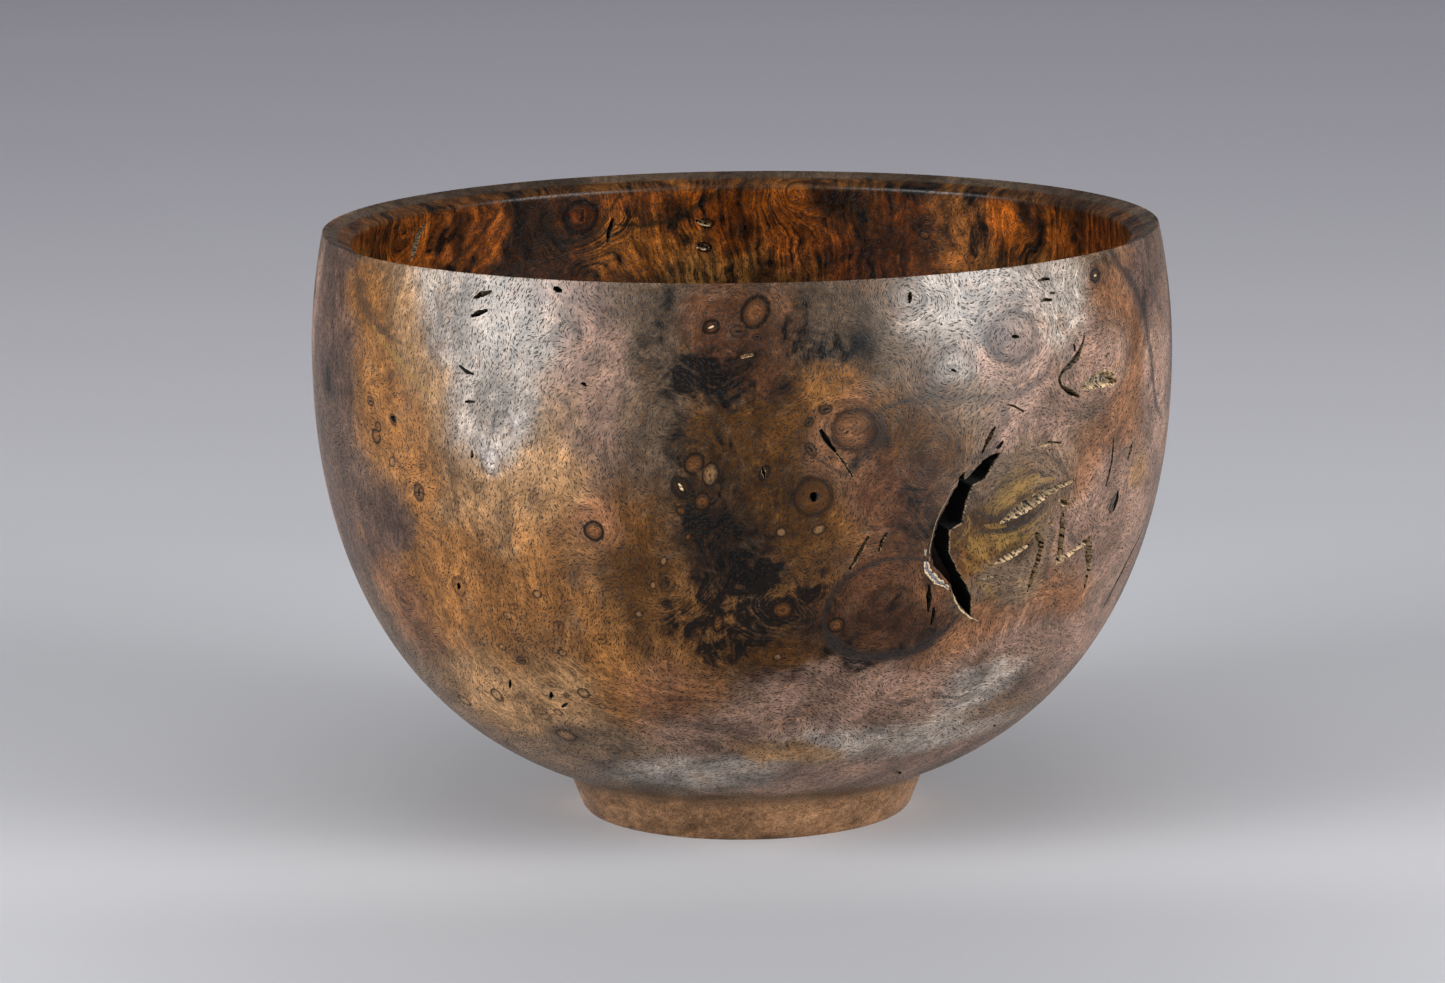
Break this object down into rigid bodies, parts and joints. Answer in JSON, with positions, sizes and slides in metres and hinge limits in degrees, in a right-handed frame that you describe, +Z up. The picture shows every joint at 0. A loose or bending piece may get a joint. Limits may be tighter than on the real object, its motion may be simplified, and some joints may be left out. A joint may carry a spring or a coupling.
{
  "type": "turned wooden bowl",
  "caption": "Deep turned burl-wood bowl with a small ring foot, a slightly closed rim and the natural bark voids and splits of the burl left open.",
  "frame": {"origin": "centre of the foot's underside, on the surface the bowl stands on", "axes": "+Z up along the turning axis, -Y towards the front, +X to the right of someone facing the front"},
  "size_m": [0.23, 0.23, 0.1586],
  "materials": {
    "burl_wood": "satin oil outside, glossier inside"
  },
  "bodies": {
    "root": {"bowl": "burl_wood"}
  },
  "joints": []
}
